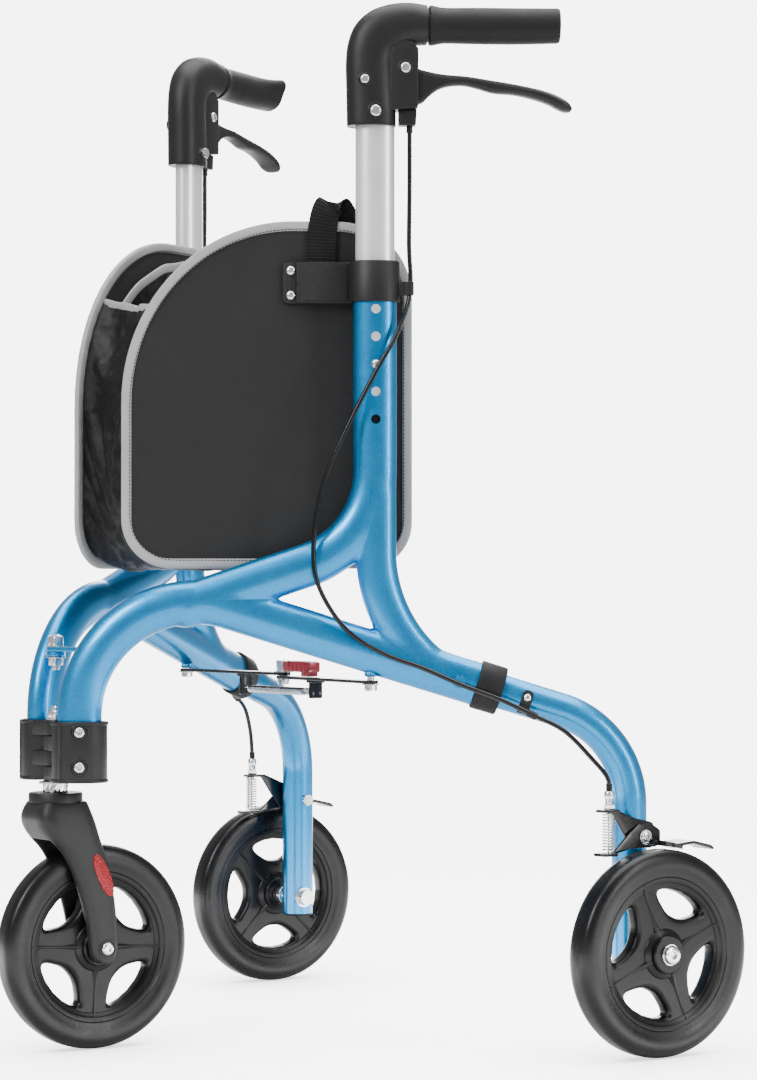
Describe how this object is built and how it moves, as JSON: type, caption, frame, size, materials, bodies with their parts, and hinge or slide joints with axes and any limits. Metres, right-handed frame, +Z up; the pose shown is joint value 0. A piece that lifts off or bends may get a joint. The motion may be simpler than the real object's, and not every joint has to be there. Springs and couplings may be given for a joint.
{
  "type": "rollator walker",
  "caption": "Folding rollator walker with hinged tube side frames, sliding handles, cable brakes, a swivel front fork and a fabric bag.",
  "frame": {"origin": "centre of the bounding box in plan, on the floor under the wheels", "axes": "+Z up; the front wheel is at -Y and the grips point towards +Y; +X is the left side of a user who faces the front"},
  "size_m": [0.72, 0.5932, 0.9695],
  "materials": {
    "blue_paint": "metallic gloss",
    "silver_post": "satin",
    "zinc": "bright",
    "black_plastic": "fine texture",
    "grip_rubber": "matte",
    "tyre": "semi-matte",
    "black_steel": "gloss",
    "bag_fabric": "woven",
    "bag_nylon": "slight sheen",
    "red_plastic": "translucent look",
    "cable_sheath": "gloss"
  },
  "bodies": {
    "left_frame": {"left_front_tube": "blue_paint", "left_post_tube": "blue_paint", "left_brace_tube": "blue_paint", "left_leg_tube": "blue_paint", "left_tube_sleeve": "grip_rubber", "left_head_casing": "black_plastic", "left_collar": "black_plastic", "left_bag_bracket": "black_plastic", "left_brake_bracket": "black_steel", "left_cable_adjuster": "zinc", "left_axle": "zinc", "left_brake_cable": "cable_sheath", "left_bag_panel": "bag_fabric", "left_brake_spring": "zinc", "steering_pin": "zinc", "hinge_bolt": "zinc", "bag_gusset": "bag_nylon", "bag_strap": "bag_nylon"},
    "right_frame": {"right_front_tube": "blue_paint", "right_post_tube": "blue_paint", "right_brace_tube": "blue_paint", "right_leg_tube": "blue_paint", "right_tube_sleeve": "grip_rubber", "right_head_casing": "black_plastic", "right_collar": "black_plastic", "right_bag_bracket": "black_plastic", "right_brake_bracket": "black_steel", "right_cable_adjuster": "zinc", "right_axle": "zinc", "right_brake_cable": "cable_sheath", "right_bag_panel": "bag_fabric", "right_brake_spring": "zinc"},
    "left_handle": {"left_inner_post": "silver_post", "left_handle_casing": "black_plastic", "left_grip": "grip_rubber"},
    "left_button": {"left_height_button": "zinc"},
    "left_lever": {"left_brake_lever": "black_plastic"},
    "left_brake": {"left_brake_arm": "black_steel"},
    "left_wheel": {"left_rim": "black_plastic", "left_tyre": "tyre"},
    "right_handle": {"right_inner_post": "silver_post", "right_handle_casing": "black_plastic", "right_grip": "grip_rubber"},
    "right_button": {"right_height_button": "zinc"},
    "right_lever": {"right_brake_lever": "black_plastic"},
    "right_brake": {"right_brake_arm": "black_steel"},
    "right_wheel": {"right_rim": "black_plastic", "right_tyre": "tyre"},
    "fork": {"caster_fork": "black_plastic", "front_axle": "zinc"},
    "front_wheel": {"front_rim": "black_plastic", "front_tyre": "tyre"},
    "left_link": {"left_spreader_link": "black_steel", "release_tab": "red_plastic", "spreader_spring_front": "zinc", "spreader_spring_rear": "zinc"},
    "right_link": {"right_spreader_link": "black_steel"}
  },
  "joints": [
    {"name": "fold", "type": "hinge", "parent": "left_frame", "child": "right_frame", "pos_m": [0, -0.2403, 0.3], "axis": [0, 0, -1], "range_deg": [0, 52], "deforming": ["bag_gusset"]},
    {"name": "left_height", "type": "slide", "parent": "left_frame", "child": "left_handle", "axis": [0, 0, 1], "range_m": [-0.0508, 0.0508], "deforming": ["left_brake_cable"]},
    {"name": "left_button_press", "type": "slide", "parent": "left_frame", "child": "left_button", "axis": [-0.8652, 0.5015, 0], "range_m": [0, 0.0018], "stiffness_N_per_m": 300, "springref_m": -0.002},
    {"name": "left_lever_squeeze", "type": "hinge", "parent": "left_handle", "child": "left_lever", "pos_m": [0.1849, 0.02471, 0.908], "axis": [0.8652, -0.5015, 0], "range_deg": [0, 18], "stiffness_Nm_per_rad": 1, "springref_deg": -11.46},
    {"name": "left_brake_press", "type": "hinge", "parent": "left_frame", "child": "left_brake", "pos_m": [0.3115, 0.2056, 0.199], "axis": [-1, 0, 0], "range_deg": [0, 5], "deforming": ["left_brake_spring"]},
    {"name": "left_wheel_spin", "type": "hinge", "parent": "left_frame", "child": "left_wheel", "pos_m": [0.337, 0.2016, 0.095], "axis": [1, 0, 0], "continuous": true},
    {"name": "right_height", "type": "slide", "parent": "right_frame", "child": "right_handle", "axis": [0, 0, 1], "range_m": [-0.0508, 0.0508], "deforming": ["right_brake_cable"]},
    {"name": "right_button_press", "type": "slide", "parent": "right_frame", "child": "right_button", "axis": [0.8652, 0.5015, 0], "range_m": [0, 0.0018], "stiffness_N_per_m": 300, "springref_m": -0.002},
    {"name": "right_lever_squeeze", "type": "hinge", "parent": "right_handle", "child": "right_lever", "pos_m": [-0.1849, 0.02471, 0.908], "axis": [0.8652, 0.5015, 0], "range_deg": [0, 18], "stiffness_Nm_per_rad": 1, "springref_deg": -11.46},
    {"name": "right_brake_press", "type": "hinge", "parent": "right_frame", "child": "right_brake", "pos_m": [-0.3115, 0.2056, 0.199], "axis": [-1, 0, 0], "range_deg": [0, 5], "deforming": ["right_brake_spring"]},
    {"name": "right_wheel_spin", "type": "hinge", "parent": "right_frame", "child": "right_wheel", "pos_m": [-0.337, 0.2016, 0.095], "axis": [1, 0, 0], "continuous": true},
    {"name": "caster_swivel", "type": "hinge", "parent": "left_frame", "child": "fork", "pos_m": [0, -0.2403, 0.24], "axis": [0, 0, 1], "continuous": true},
    {"name": "front_wheel_spin", "type": "hinge", "parent": "fork", "child": "front_wheel", "pos_m": [0, -0.2016, 0.095], "axis": [1, 0, 0], "continuous": true},
    {"name": "left_link_swing", "type": "hinge", "parent": "left_frame", "child": "left_link", "pos_m": [0.169, -0.0024, 0.3365], "axis": [0, 0, 1], "range_deg": [0, 51.35]},
    {"name": "right_link_swing", "type": "hinge", "parent": "left_link", "child": "right_link", "pos_m": [0, 0.0076, 0.339], "axis": [0, 0, -1], "range_deg": [0, 154.61], "deforming": ["spreader_spring_front", "spreader_spring_rear"]}
  ],
  "couplings": [
    {"joint": "left_link_swing", "follows": "fold", "ratio": 0.98181},
    {"joint": "right_link_swing", "follows": "fold", "ratio": 2.9636},
    {"joint": "left_brake_press", "follows": "left_lever_squeeze", "ratio": 0.27},
    {"joint": "right_brake_press", "follows": "right_lever_squeeze", "ratio": 0.27}
  ]
}
